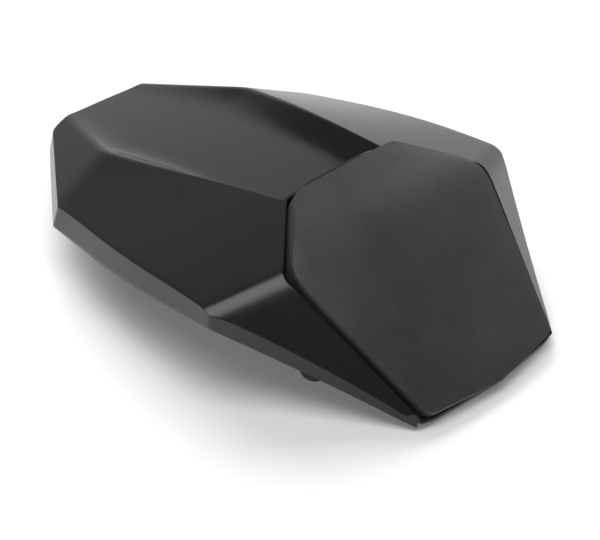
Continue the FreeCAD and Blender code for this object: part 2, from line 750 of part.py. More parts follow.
tray = tray.fuse([tongue(tongue_x), tongue(-tongue_x)])
tower_width = plate_width + 2 * plate_margin
tower_length = plate_length + 2 * plate_margin
tower = Part.makeBox(tower_width, tower_length, REACH,
                     Vector(-tower_width / 2, striker_y - tower_length / 2, tower_height))
tower = tower.common(below_run(band_edge_run(pan_lift + pan_thickness)))
well = Part.makeBox(tower_width - 2 * pan_thickness, tower_length - 2 * pan_thickness, REACH,
                    Vector(pan_thickness - tower_width / 2, striker_y - tower_length / 2 + pan_thickness,
                           tower_height + tower_floor))
tray = tray.fuse(tower).cut(well)
for seat in boss_seats:
    tray = tray.cut(rod(pan_screw_radius + hole_clearance, -rib_depth, pan_thickness + cut_over, seat))
for seat in foot_front_seats + foot_rear_seats:
    tray = tray.cut(rod(foot_stem_radius + thread_clearance, -rib_depth, pan_thickness + cut_over, seat))
for x in (bolt_x, -bolt_x):
    seat = upright(x, tower_height)
    tray = tray.cut(rod(bolt_radius + hole_clearance, -cut_over, tower_floor + cut_over, seat))
pan = add_shape("base_pan", single(tray))

# Screws, washers and tee nuts of the pad
stack = "washer_thickness + wall + board_thickness - thread_clearance"
pad_screw = headed("pad_screw", "pad_screw_head_radius", "pad_screw_head_height", "pad_screw_radius", stack)
washer = lathe("washer_blank", [("pad_screw_radius + thread_clearance", "0"), ("washer_radius", "0"),
                                ("washer_radius", "washer_thickness"),
                                ("pad_screw_radius + thread_clearance", "washer_thickness")])
flange_low = "board_thickness - tee_lift - tee_flange_thickness"
flange_high = "board_thickness - tee_lift"
tee_flange = bound("Part::Prism", "tee_flange", {"Circumradius": "tee_flange_radius",
                                                 "Height": "tee_flange_thickness",
                                                 "Placement.Base.z": flange_low})
tee_barrel = bound("Part::Cylinder", "tee_barrel", {"Radius": "tee_barrel_radius", "Height": flange_high})
tee_body = doc.addObject("Part::MultiFuse", "tee_body")
tee_body.Shapes = [tee_flange, tee_barrel]
tee_nut = bored("tee_nut", tee_body, "pad_screw_radius + thread_clearance", flange_high)
sink = wall + washer_thickness
washers = group("pad_washers", washer, [lowered(seat, sink) for seat in pad_seats])
head_sink = sink + pad_screw_head_height
pad_screws = group("pad_screws", pad_screw, [lowered(seat, head_sink) for seat in pad_seats])
tee_nuts = group("pad_tee_nuts", tee_nut, [lowered(seat, -tee_lift) for seat in pad_seats])

# Screws of the tray
pan_screw = headed("pan_screw", "pan_screw_head_radius", "pan_screw_head_height", "pan_screw_radius",
                   "pan_screw_length")
pan_screws = group("pan_screws", pan_screw, [lowered(seat, pan_screw_head_height) for seat in boss_seats])

# Rubber feet, each with a stem through the tray and a cap that snaps over it
stem_top = "foot_height + pan_thickness"
foot_profile = [("0", "0"), ("foot_radius - foot_chamfer", "0"), ("foot_radius", "foot_chamfer"),
                ("foot_radius", "foot_height"), ("foot_stem_radius", "foot_height"),
                ("foot_stem_radius", stem_top), ("foot_cap_radius", stem_top),
                ("foot_cap_radius", stem_top + " + foot_cap_height"), ("0", stem_top + " + foot_cap_height")]
foot = lathe("foot_blank", foot_profile)
feet = []
for end, seats in (("front", foot_front_seats), ("rear", foot_rear_seats)):
    feet.append(group("buffers_" + end, foot, [lowered(seat, foot_height) for seat in seats]))

# Striker: plate under the tower with a hoop of round rod welded to it, and its bolts and nuts
plate = bound("Part::Box", "plate_blank", {"Length": "plate_width", "Width": "plate_length",
                                           "Height": "plate_thickness"})
doc.recompute()
under_tower = tower_height - plate_thickness
sheet_metal = placed(plate.Shape, upright(-plate_width / 2, under_tower))
sheet_metal.translate(Vector(0, -plate_length / 2, 0))
corners = [edge for edge in sheet_metal.Edges if abs(edge.tangentAt(edge.FirstParameter).z) > 0.5]
sheet_metal = sheet_metal.makeFillet(plate_corner_radius, corners)
for x in (bolt_x, -bolt_x):
    sheet_metal = sheet_metal.cut(rod(bolt_radius + hole_clearance, -cut_over, plate_thickness + cut_over,
                                      upright(x, under_tower)))


def hoop_path():
    """Centre line of the hoop: down one leg, along the bottom and up the other."""
    low = hoop_rod_radius
    turn = hoop_bend_radius
    diagonal = turn * (1.0 - cos(45.0))
    edges = [Part.LineSegment(Vector(-hoop_leg_x, striker_y, under_tower),
                              Vector(-hoop_leg_x, striker_y, low + turn)),
             Part.Arc(Vector(-hoop_leg_x, striker_y, low + turn),
                      Vector(diagonal - hoop_leg_x, striker_y, low + diagonal),
                      Vector(turn - hoop_leg_x, striker_y, low)),
             Part.LineSegment(Vector(turn - hoop_leg_x, striker_y, low),
                              Vector(hoop_leg_x - turn, striker_y, low)),
             Part.Arc(Vector(hoop_leg_x - turn, striker_y, low),
                      Vector(hoop_leg_x - diagonal, striker_y, low + diagonal),
                      Vector(hoop_leg_x, striker_y, low + turn)),
             Part.LineSegment(Vector(hoop_leg_x, striker_y, low + turn),
                              Vector(hoop_leg_x, striker_y, under_tower))]
    return Part.Wire([edge.toShape() for edge in edges])


leg_top = Vector(-hoop_leg_x, striker_y, under_tower)
ring = Part.Wire(Part.makeCircle(hoop_rod_radius, leg_top, Vector(0, 0, 1)))
hoop = hoop_path().makePipeShell([ring], True, False)
striker = add_shape("striker", single(sheet_metal.fuse(hoop)))

bolt = headed("bolt", "bolt_head_radius", "bolt_head_height", "bolt_radius", "bolt_length")
nut_body = bound("Part::Prism", "nut_body", {"Circumradius": "bolt_head_radius", "Height": "nut_height"})
nut = bored("nut", nut_body, "bolt_radius + thread_clearance", "nut_height")
bolts = group("striker_bolts", bolt, [upright(x, under_tower - bolt_head_height) for x in (bolt_x, -bolt_x)])
nuts = group("striker_nuts", nut, [upright(x, tower_height + tower_floor) for x in (bolt_x, -bolt_x)])

pieces = [shell, board, pad, pan, washers, pad_screws, tee_nuts, pan_screws, striker, bolts, nuts] + feet
doc.recompute()
for item in doc.Objects:
    if "Invalid" in item.State or "Error" in item.State:
        raise RuntimeError("%s did not recompute" % item.Label)
for piece in pieces:
    if piece.Shape.isNull() or not piece.Shape.isValid():
        raise RuntimeError("%s has no valid shape" % piece.Label)

# The origin is on the floor, in the middle of the overall length
box = shell.Shape.optimalBoundingBox()
box.add(pad.Shape.optimalBoundingBox())
shift = FreeCAD.Placement(Vector(0, -0.5 * (box.YMin + box.YMax), 0), FreeCAD.Rotation())
print("origin", shift.Base)
os.makedirs("parts", exist_ok=True)
for piece in pieces:
    piece.Placement = shift * piece.Placement
    piece.Shape.exportStep("parts/%s.step" % piece.Label)
    print(piece.Label, len(piece.Shape.Solids), "solids", round(piece.Shape.Volume / 1000.0, 2), "cm3")
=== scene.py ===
import math
import bpy
import bmesh
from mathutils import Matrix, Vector


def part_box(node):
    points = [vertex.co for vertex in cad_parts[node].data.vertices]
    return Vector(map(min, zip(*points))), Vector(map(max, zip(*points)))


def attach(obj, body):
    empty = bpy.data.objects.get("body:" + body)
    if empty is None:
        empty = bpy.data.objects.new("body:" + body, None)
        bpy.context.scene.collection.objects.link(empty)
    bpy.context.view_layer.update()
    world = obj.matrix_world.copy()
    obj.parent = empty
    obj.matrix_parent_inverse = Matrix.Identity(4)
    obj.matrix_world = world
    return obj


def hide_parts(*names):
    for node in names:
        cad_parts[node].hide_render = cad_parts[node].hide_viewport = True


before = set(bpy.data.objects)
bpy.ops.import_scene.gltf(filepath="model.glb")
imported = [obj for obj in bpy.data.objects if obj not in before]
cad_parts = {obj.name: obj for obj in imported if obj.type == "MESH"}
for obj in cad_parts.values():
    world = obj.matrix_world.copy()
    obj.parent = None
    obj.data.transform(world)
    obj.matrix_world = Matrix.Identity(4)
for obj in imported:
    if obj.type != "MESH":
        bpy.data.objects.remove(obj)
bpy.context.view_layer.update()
print("frame loaded", len(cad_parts), "nodes")

mm = 0.001
weld = 0.02 * mm  # points nearer than this are joined
tongueTip = 22.0  # the tray's tongues start this far behind the datum, in mm
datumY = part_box("base_pan")[0].y / mm - tongueTip  # the drawing's y = 0, at the backrest's foot
pull = math.radians(30)  # the pad pulls out of its recess along this lean


def tangent(degrees):
    return math.tan(math.radians(degrees))


def inFrame(x, y, z):  # from the drawing's millimetres to the frame's metres
    return Vector((x, y + datumY, z)) * mm


def mix(a, b, share):
    return a + (b - a) * share


def smoothStep(value, start, end):  # 0 before the start, 1 after the end, eased between them
    share = min(max((value - start) / (end - start), 0.0), 1.0)
    return share * share * (3.0 - 2.0 * share)


def softMin(a, b, width):  # the lower of two heights, with a round where they cross
    near = max(width - abs(a - b), 0.0) / width
    return min(a, b) - near * near * width / 4


def softMax(a, b, width):
    return -softMin(-a, -b, width)


def throughThree(y, stations):  # parabola through three (y, value) stations
    total = 0.0
    for i, (yi, vi) in enumerate(stations):
        term = vi
        for j, (yj, _) in enumerate(stations):
            if j != i:
                term *= (y - yj) / (yi - yj)
        total += term
    return total


def planeThrough(p, q, r):  # height function of a plane
    normal = (q - p).cross(r - p)
    return lambda x, y: p.z - (normal.x * (x - p.x) + normal.y * (y - p.y)) / normal.z


def bisect(low, high, isBelow, steps=40):  # the value at which the test turns false
    for step in range(steps):
        middle = 0.5 * (low + high)
        if isBelow(middle):
            low = middle
        else:
            high = middle
    return low


def onSurface(x, v, height):  # point of a surface seen at (x, v) along the pull
    y, stride = v, 0.6  # each step goes part of the way, so that it settles
    for step in range(40):
        y = mix(y, (v - height(x, y) * math.sin(pull)) / math.cos(pull), stride)
    return Vector((x, y, height(x, y)))


# The cowl's outer form, in millimetres and degrees, as heights over the plan of its right half
cowl = {
    # corners of the plan, and how far its lines bow outwards
    "front": (60.5, 2.5), "wing": (126.0, 100.0), "rear": (106.0, 264.0), "tail": (45.5, 349.5),
    "sideBow": 6.0, "tailBow": 1.0, "frontBow": 7.0, "corner": 5.5, "tailCorner": 9.0,
    # side decks: height of the outer edge and slope at the wing, the middle and the rear
    "deckEdge": (65.8, 60.8, 51.0), "deckSlope": (16.7, 17.8, 23.3), "deckMiddle": (118.4, 187.0),
    # ridges and the channel between them
    "ridgeFront": (42.0, 125.0), "ridgeBend": (61.4, 271.3), "ridgeTail": (36.6, 345.0),
    "ridgeRound": 3.0, "tailHeight": 53.1, "tailEdge": 48.0, "tailStep": 0.8,
    "floorHeights": (70.8, 65.9), "headerWidth": 2.9, "wallAngles": (31.0, 64.0, 76.0),
    "steepTo": 0.2,  # share of the ridge along which the channel's wall stays steep
    # wings and backrest
    "shoulder": (85.0, 81.0), "wingFoot": (65.0, 9.4, 11.6),
    "bend": (87.0, 82.1), "upper": 12.4, "lower": 41.6, "crown": 6.0,
    # recess of the pad
    "rimCorner": (86.5, 82.6), "rimFoot": (58.0, 1.2), "rimRadius": 10.0, "rimTop": 8.0,
    "recessDepth": 12.0, "shelf": (14.0, 6.0), "recessMiddle": 60.0,
    # band round the edge: its lower edge as (y, z), its flare, and the share of it at the tail
    "edgeRuns": ((-100.0, 3.2), (2.5, 3.2), (100.0, 54.1), (264.0, 37.4), (349.5, 33.0)),
    "flare": 17.0, "flareFront": 5.0, "tailFlare": 0.75,
    # wall, and how much of it is left at the rim, within a width beside it
    "wall": 2.5, "rimWall": 0.25, "rimWidth": 9.0,
    # rounds: edges sharper than the angle, and the widths over which two faces blend
    "sharp": 38.0, "edgeRound": 1.0, "bendSoft": 3.0, "wingSoft": 11.0, "rearSoft": 1.6,
    "crestSoft": (1.5, 3.0, 2.0), "footSoft": (2.0, 4.5),
}


def deckSlope(y):
    stations = zip((cowl["wing"][1], cowl["deckMiddle"][1], cowl["rear"][1]), cowl["deckSlope"])
    return throughThree(y, [(at, tangent(angle)) for at, angle in stations])


def deckHeight(x, y):
    stations = []
    places = (cowl["wing"], cowl["deckMiddle"], cowl["rear"])
    for place, edge, angle in zip(places, cowl["deckEdge"], cowl["deckSlope"]):
        stations.append((place[1], edge + place[0] * tangent(angle)))
    return throughThree(y, stations) - deckSlope(y) * x


def onDeck(place):
    return Vector((place[0], place[1], deckHeight(*place)))


tailPoint = Vector((*cowl["ridgeTail"], cowl["tailHeight"]))
wingPlane = planeThrough(Vector(cowl["wingFoot"]), onDeck(cowl["wing"]), onDeck(cowl["shoulder"]))
rearPlane = planeThrough(onDeck(cowl["ridgeBend"]), onDeck(cowl["rear"]), tailPoint)


def backrestHeight(x, y, lift, soft):  # crowned surface of the backrest, raised square to itself
    share = x / cowl["rimCorner"][0]
    lift += cowl["crown"] * (1.0 - share * share)
    bendY, bendZ = cowl["bend"]
    halves = []
    for angle in (cowl["upper"], cowl["lower"]):
        slope = tangent(angle)
        halves.append(bendZ + (y - bendY) * slope + lift * math.hypot(1.0, slope))
    return softMin(*halves, soft)


def outerHeight(x, y):  # decks, wings and rear facets without the channel
    x = abs(x)
    height = softMin(deckHeight(x, y), wingPlane(x, y), cowl["wingSoft"])
    height = softMin(height, rearPlane(x, y), cowl["rearSoft"])
    if x > cowl["ridgeFront"][0]:
        return height
    return min(height, backrestHeight(x, y, 0.0, cowl["bendSoft"]))


def crestAt(y):  # plan x and height of the ridge line at y
    front, bend = onDeck(cowl["ridgeFront"]), onDeck(cowl["ridgeBend"])
    places = []
    for a, b in ((front, bend), (bend, tailPoint)):
        share = (y - a.y) / (b.y - a.y)
        places.append((mix(a.x, b.x, share), mix(a.z, b.z, share)))
    return softMin(places[0][0], places[1][0], cowl["ridgeRound"]), places[y > bend.y][1]


def alongCrest(y):  # 0 at the ridge's front, 1 at its bend, 2 at the tail
    front, bend, tail = [cowl[name][1] for name in ("ridgeFront", "ridgeBend", "ridgeTail")]
    if y < bend:
        return max((y - front) / (bend - front), 0.0)
    return 1.0 + min((y - bend) / (tail - bend), 1.0)


def wallReach(along):  # how far the channel's wall runs inwards for each millimetre that it drops
    front, bend, tail = [tangent(angle) for angle in cowl["wallAngles"]]
    if along < 1.0:
        return mix(front, bend, smoothStep(along, cowl["steepTo"], 1.0))
    return mix(bend, tail, along - 1.0)


def floorHeight(y):
    front, tail = cowl["ridgeFront"][1], cowl["tail"][1]
    stations = [(front, cowl["floorHeights"][0]), (0.5 * (front + tail), cowl["floorHeights"][1]),
                (tail + cowl["tailBow"], cowl["tailHeight"] - cowl["tailStep"])]
    return throughThree(y, stations)


def topHeight(x, y):  # the whole upper skin, channel included
    x = abs(x)
    outer = outerHeight(x, y)
    crestX, crestZ = crestAt(y)
    along = alongCrest(y)
    softFront, softBend, softTail = cowl["crestSoft"]
    if along < 1.0:
        width = mix(softFront, softBend, along ** 3)
    else:
        width = mix(softBend, softTail, along - 1.0)
    footWidth = mix(*cowl["footSoft"], min(along, 1.0))
    # the round at the ridge takes off a quarter of its width, which is added beforehand
    side = crestZ + (x - crestX) / wallReach(along) + width / 4
    header = cowl["ridgeFront"][1] + cowl["headerWidth"]
    front = onDeck(cowl["ridgeFront"]).z - (y - header) / tangent(cowl["wallAngles"][0])
    inner = softMax(softMax(floorHeight(y), side, footWidth), front, footWidth)
    return softMin(outer, inner, width)


def edgeHeight(y):  # lower edge of the band in the side view
    for (ya, za), (yb, zb) in zip(cowl["edgeRuns"], cowl["edgeRuns"][1:]):
        if y <= yb:
            break
    return mix(za, zb, (y - ya) / (yb - ya))


def recessFloor(y):  # floor of the pad's recess with its shelf at the foot
    bendY = cowl["bend"][0] + cowl["recessDepth"] * math.sin(pull)
    bendZ = cowl["bend"][1] - cowl["recessDepth"] * math.cos(pull)
    if y > bendY:
        return bendZ + (y - bendY) * tangent(cowl["upper"])
    share = max((y - cowl["shelf"][0]) / (bendY - cowl["shelf"][0]), 0.0)
    return mix(cowl["shelf"][1], bendZ, share)


sideLimit = 0.48  # share of a side that the round of one corner may take


# Points along a line with rounded corners, and which of them is each corner's middle
def roundedPath(corners, radii, steps=8):
    points, marks = [], []
    for i, corner in enumerate(corners):
        if radii[i] == 0:
            marks.append(len(points))
            points.append(corner)
            continue
        back, on = corners[i - 1] - corner, corners[(i + 1) % len(corners)] - corner
        turn = math.pi - back.angle(on)
        shortest = min(back.length, on.length)
        reach = min(radii[i] * math.tan(turn / 2), sideLimit * shortest)
        start, end = corner + back.normalized() * reach, corner + on.normalized() * reach
        marks.append(len(points) + steps // 2)
        for k in range(steps + 1):
            t = k / steps
            points.append(mix(mix(start, corner, t), mix(corner, end, t), t))
    return points, marks


def pointAlong(path, first, last, share):  # point at a share of the length between two marks
    points = path[0][path[1][first]:path[1][last] + 1]
    lengths = [(b - a).length for a, b in zip(points, points[1:])]
    left = share * sum(lengths)
    for a, b, length in zip(points, points[1:], lengths):
        if left <= length:
            return mix(a, b, left / length)
        left -= length
    return points[-1]


def spread(corners, amounts):  # each corner moved outwards square to the two sides beside it
    moved = []
    for i, corner in enumerate(corners):
        before = (corner - corners[i - 1]).normalized()
        after = (corners[(i + 1) % len(corners)] - corner).normalized()
        first, second = Vector((before.y, -before.x)), Vector((after.y, -after.x))
        moved.append(corner + (first + second) * (amounts[i] / (1.0 + first.dot(second))))
    return moved


def outlineAt(z):  # right half of the flared plan outline at a height, closed along the left half
    wing, rear = Vector(cowl["wing"]), Vector(cowl["rear"])
    along = (rear - wing).normalized()
    side = (wing + rear) / 2 + Vector((along.y, -along.x)) * cowl["sideBow"]
    right = [Vector(cowl["front"]), wing, side, rear, Vector(cowl["tail"])]
    tailMiddle = Vector((0, cowl["tail"][1] + cowl["tailBow"]))
    frontMiddle = Vector((0, cowl["front"][1] - cowl["frontBow"]))
    left = [Vector((-p.x, p.y)) for p in reversed(right)]
    rate = tangent(cowl["flare"])
    tailRate = rate * cowl["tailFlare"]
    # each corner stands further out by its rate for each millimetre below its own height
    rates = [tangent(cowl["flareFront"]), 0.0, rate / 2, rate, tailRate]
    decks = [deckHeight(*place) for place in (wing, side, rear)]
    heights = [cowl["wingFoot"][2], *decks, cowl["tailEdge"]]
    amounts = [r * (h - z) for r, h in zip(rates, heights)]
    ring = [frontMiddle] + right + [tailMiddle] + left
    amounts = [0.0] + amounts + [tailRate * (cowl["tailHeight"] - z)] + list(reversed(amounts))
    bowed = 1.0e5  # radius so wide that the whole side becomes one curve
    corner, tail = cowl["corner"], cowl["tailCorner"]
    radii = [0, corner, corner, bowed, corner, tail, bowed] + [0] * len(left)
    return roundedPath(spread(ring, amounts), radii)


lowLevel, highLevel = -20.0, 110.0  # the outline is laid out at two heights and mixed in between
outlineLow, outlineHigh = outlineAt(lowLevel), outlineAt(highLevel)
markFront, markWing, markSide, markRear, markTail, markTailCentre = 1, 2, 3, 4, 5, 6


def bandPlan(first, last, share, z):  # plan point of the band's outer face
    low = pointAlong(outlineLow, first, last, share)
    high = pointAlong(outlineHigh, first, last, share)
    return mix(low, high, (z - lowLevel) / (highLevel - lowLevel))


def bandEnd(place, z, height):  # where the band meets a height over the plan, from a first z
    stride = 0.7
    for step in range(12):
        plan = bandPlan(*place, z)
        z = mix(z, height(plan.x, plan.y), stride)
    return Vector((plan.x, plan.y, z))


def bandTop(*place):  # where the band meets the upper skin
    return bandEnd(place, 55.0, topHeight)


def bandFoot(*place):  # where the band ends below
    return bandEnd(place, 40.0, lambda x, y: edgeHeight(y))


def rimPoint(x, v):  # point of the rim seen at (x, v) along the pull
    return onSurface(x, v, outerHeight)


def pullFrame(x, y):  # point of the flat backrest as it is seen along the pull
    slope = cowl["upper"] if y > cowl["bend"][0] else cowl["lower"]
    z = cowl["bend"][1] + (y - cowl["bend"][0]) * tangent(slope)
    return Vector((x, y * math.cos(pull) + z * math.sin(pull)))


rimCorners = [pullFrame(*cowl[name]) for name in ("rimFoot", "rimCorner", "ridgeFront")]
rimRadii = [0, cowl["rimRadius"], cowl["rimTop"], 0]
rimPath = roundedPath(rimCorners + [Vector((0, rimCorners[2].y))], rimRadii)


def rimTopLine(x):  # the rim's rear line at x, seen along the pull
    points = rimPath[0][rimPath[1][2]:]
    for a, b in zip(points, points[1:]):
        if x >= b.x:
            return mix(a.y, b.y, (a.x - x) / (a.x - b.x))
    return points[-1].y


def eased(count, power, atEnd=True):  # shares from 0 to 1 that crowd towards one end
    shares = [(k / count) ** power for k in range(count + 1)]
    if atEnd:
        shares = [1.0 - share for share in reversed(shares)]
    return shares


def bothEnds(count, power):
    half = [0.5 * share for share in eased(count // 2, power, atEnd=False)]
    return half + [1.0 - share for share in reversed(half[:-1])]


def gridSheet(bm, across, along, place):  # a grid whose vertices go where place(i, j) says
    made = bmesh.ops.create_grid(bm, x_segments=across, y_segments=along, size=1.0)
    for vertex in made["verts"]:
        i = round((vertex.co.x + 1) / 2 * across)
        j = round((vertex.co.y + 1) / 2 * along)
        vertex.co = inFrame(*place(i, j))


def cornerShare():  # where the tail's corner is, from the rear corner to the middle of the tail
    points, marks = outlineLow
    lengths = [(b - a).length for a, b in zip(points, points[1:])]
    rear, corner, middle = marks[markRear], marks[markTail], marks[markTailCentre]
    return sum(lengths[rear:corner]) / sum(lengths[rear:middle])


def outsideRidge(share):
    top = bandTop(markRear, markTailCentre, share)
    return top.x > crestAt(top.y)[0]


atCorner = cornerShare()
# where the ridge line runs out over the band
atRidge = bisect(atCorner, 1.0, outsideRidge, steps=30)
ridgeEnd = bandTop(markRear, markTailCentre, atRidge)
cornerRow = 0.8  # share of the tail's rows that lie before the tail's corner
wingRows, rimRows, crestRows, tailRows = 20, 16, 40, 32  # along the parts of the inner line


# Rows of the skin: (point of the inner line, marks of the outer line, share between them)
def skinRows():
    rows = []
    crowding = 1.5  # the rows stand closer together towards the corners
    for share in eased(wingRows, crowding):
        rim = pointAlong(rimPath, 0, 1, share)
        rows.append((rimPoint(rim.x, rim.y), markFront, markWing, share))
    wingEnd = 0.2  # how far along the side the ridge's front is paired
    for share in eased(rimRows, crowding, atEnd=False)[1:]:
        rim = pointAlong(rimPath, 1, 2, share)
        rows.append((rimPoint(rim.x, rim.y), markWing, markSide, share * wingEnd * 2))
    lastFront = len(rows) - 1
    start, bend = cowl["ridgeFront"][1], cowl["ridgeBend"][1]
    headerShare = cowl["headerWidth"] / (bend - start)
    for step in bothEnds(crestRows, crowding):
        share = mix(headerShare, 1.0, step)
        y = mix(start, bend, share)
        x = crestAt(y)[0]
        whole = mix(wingEnd, 1.0, share)
        if whole < 0.5:
            outer = (markWing, markSide, whole * 2)
        else:
            outer = (markSide, markRear, whole * 2 - 1)
        rows.append((Vector((x, y, topHeight(x, y))), *outer))
    for share in bothEnds(tailRows, crowding)[1:]:
        y = mix(bend, ridgeEnd.y, share)
        x = crestAt(y)[0]
        if share < cornerRow:
            outer = mix(0.0, atCorner, share / cornerRow)
        else:
            outer = mix(atCorner, atRidge, (share - cornerRow) / (1.0 - cornerRow))
        rows.append((Vector((x, y, topHeight(x, y))), markRear, markTailCentre, outer))
    return rows, lastFront


rows, lastFront = skinRows()
nearSteps = [0.0, 0.3, 0.7, 1.2, 1.8, 2.6, 3.6, 5.0, 7.0]  # columns beside the inner line, in mm
nearLimit = 0.3  # share of a narrow row that they may take
farSteps = [0.07, 0.17, 0.3, 0.44, 0.58, 0.72, 0.85, 0.95, 1.0]  # and shares of what is left


def columnShare(i, width):  # share of a row's width at column i
    scale = min(1.0 / width, nearLimit / nearSteps[-1])
    if i < len(nearSteps):
        return nearSteps[i] * scale
    return mix(nearSteps[-1] * scale, 1.0, farSteps[i - len(nearSteps)])


columns = len(nearSteps) + len(farSteps)
downBand = [0.12, 0.3, 0.5, 0.7, 0.88, 1.0]
tops = [bandTop(row[1], row[2], row[3]) for row in rows]
feet = [bandFoot(row[1], row[2], row[3]) for row in rows]


def deckPlace(i, j):  # from the inner line over the deck and down the band
    row = rows[j]
    top, foot = tops[j], feet[j]
    if i < columns:
        share = columnShare(i, max((top.xy - row[0].xy).length, 1.0))
        x, y = mix(row[0].x, top.x, share), mix(row[0].y, top.y, share)
        if i == 0:
            return x, y, row[0].z
        if i == columns - 1:
            return x, y, top.z
        return x, y, outerHeight(x, y) if j <= lastFront else topHeight(x, y)
    share = downBand[i - columns]
    z = mix(top.z, foot.z, share)
    plan = bandPlan(row[1], row[2], row[3], z)
    return plan.x, plan.y, z


channelRows = list(range(lastFront, len(rows)))
tailCentre = bandTop(markRear, markTailCentre, 1.0)
acrossChannel = [columnShare(i, cowl["ridgeBend"][0]) for i in range(columns)]
bowPower = 8  # the bow of the tail's edge fades out within the last rows


def channelPlace(i, j):  # from the crest to the middle, between the header and the tail
    share = acrossChannel[i]
    crest = rows[channelRows[j]][0]
    x = crest.x * (1.0 - share)
    along = j / (len(channelRows) - 1)
    bow = math.sin(share * math.pi / 2)
    y = crest.y + (tailCentre.y - ridgeEnd.y) * bow * along ** bowPower
    if j == 0:  # front edge of the header
        edge = rimPoint(x, rimTopLine(x))
        return x, edge.y, edge.z
    if j == 1:  # its rear edge follows the leaning front wall of the channel
        stride = 0.5
        for step in range(20):
            rise = outerHeight(x, y) - onDeck(cowl["ridgeFront"]).z
            y = mix(y, crest.y - rise * tangent(cowl["wallAngles"][0]), stride)
        return x, y, outerHeight(x, y)
    if j == len(channelRows) - 1:
        plan = bandTop(markRear, markTailCentre, mix(atRidge, 1.0, share))
        return plan.x, plan.y, plan.z
    return x, y, topHeight(x, y)


def tailPlace(i, j):  # band across the tail
    along = mix(atRidge, 1.0, acrossChannel[i])
    top = bandTop(markRear, markTailCentre, along)
    foot = bandFoot(markRear, markTailCentre, along)
    z = mix(top.z, foot.z, ([0.0] + downBand)[j])
    plan = bandPlan(markRear, markTailCentre, along, z)
    return plan.x, plan.y, z


downRecess = [0.0, 0.12, 0.3, 0.6, 1.0]
inwards = Vector((0, math.sin(pull), -math.cos(pull)))  # from the rim down the recess's wall
rimRing = [rows[j][0] for j in range(lastFront + 1)]
for share in acrossChannel[1:]:
    x = rimRing[lastFront].x * (1.0 - share)
    rimRing.append(rimPoint(x, rimTopLine(x)))


deepest = 40.0  # more than the recess's wall is long anywhere


def recessDepthAt(point):  # length of the recess's wall below a point of the rim
    def aboveFloor(depth):
        y, z = point.y + depth * math.sin(pull), point.z - depth * math.cos(pull)
        return z > recessFloor(y)
    return bisect(0.0, deepest, aboveFloor)


rimDepths = [recessDepthAt(point) for point in rimRing]
floorShares = [0.25, 0.6, 1.0]
shelfColumns = 8


def recessPlace(i, j):  # wall of the recess, then its floor towards the middle
    point, depth = rimRing[j], rimDepths[j]
    drop = depth * downRecess[min(i, len(downRecess) - 1)]
    place = point + inwards * drop
    if i < len(downRecess):
        return tuple(place)
    share = floorShares[i - len(downRecess)]
    y = mix(place.y, cowl["recessMiddle"], share)
    return mix(place.x, 0.0, share), y, recessFloor(y)


def shelfPlace(i, j):  # shelf at the foot, from the front edge back to the middle of the floor
    share = i / shelfColumns
    foot = rimRing[0] + inwards * rimDepths[0]
    frontEdge = pointAlong(outlineLow, 0, markFront, 1.0 - share)
    x, y = foot.x * (1.0 - share), mix(foot.y, frontEdge.y, min(i, 1))
    back = ([0.0] + floorShares)[j]
    y = mix(y, cowl["recessMiddle"], back)
    return mix(x, 0.0, back), y, recessFloor(y)


def closeHalf(bm):  # joins the sheets of the right half, mirrors them and turns all faces outwards
    bmesh.ops.remove_doubles(bm, verts=bm.verts, dist=weld)
    bmesh.ops.dissolve_degenerate(bm, edges=bm.edges, dist=weld / 2)
    right = bm.verts[:] + bm.edges[:] + bm.faces[:]
    bmesh.ops.mirror(bm, geom=right, axis="X", merge_dist=weld)
    bmesh.ops.recalc_face_normals(bm, faces=bm.faces)


def roundEdges(bm, edges, width, segments):
    bmesh.ops.bevel(bm, geom=edges, affect="EDGES", offset=width * mm, offset_type="OFFSET",
                    segments=segments, profile=0.5, material=-1, clamp_overlap=True)


def makePiece(name, bm, replaced):
    mesh = bpy.data.meshes.new(name)
    bm.to_mesh(mesh)
    bm.free()
    piece = bpy.data.objects.new(name, mesh)
    bpy.context.scene.collection.objects.link(piece)
    for face in mesh.polygons:
        face.use_smooth = True
    if replaced:
        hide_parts(replaced)
    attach(piece, "root")
    return piece


def makeCowl():
    bm = bmesh.new()
    gridSheet(bm, columns + len(downBand) - 1, len(rows) - 1, deckPlace)
    gridSheet(bm, len(acrossChannel) - 1, len(channelRows) - 1, channelPlace)
    gridSheet(bm, len(acrossChannel) - 1, len(downBand), tailPlace)
    gridSheet(bm, len(downRecess) + len(floorShares) - 1, len(rimRing) - 1, recessPlace)
    gridSheet(bm, shelfColumns, len(floorShares), shelfPlace)
    closeHalf(bm)
    print("cowl faces", len(bm.faces), "open edges", sum(edge.is_boundary for edge in bm.edges))
    limit = math.radians(cowl["sharp"])
    sharp = [edge for edge in bm.edges if edge.calc_face_angle(0.0) > limit]
    roundEdges(bm, sharp, cowl["edgeRound"], segments=3)
    return makePiece("cowl_skin", bm, "cowl_shell")


def makeWall(piece):  # gives the skin its wall, which runs out towards the sharp rim of the recess
    thick = piece.vertex_groups.new(name="thick")
    for vertex in piece.data.vertices:
        at = Vector((abs(vertex.co.x) / mm, vertex.co.y / mm - datumY, vertex.co.z / mm))
        nearest = min((at - point).length for point in rimRing)
        thick.add([vertex.index], min(nearest / cowl["rimWidth"], 1.0), "REPLACE")
    wall = piece.modifiers.new("wall", "SOLIDIFY")
    wall.vertex_group = "thick"
    wall.thickness_vertex_group = cowl["rimWall"]
    wall.thickness = cowl["wall"] * mm
    wall.offset = -1.0
    wall.use_even_offset = True


cowlSkin = makeCowl()
makeWall(cowlSkin)
print("cowl skin made")


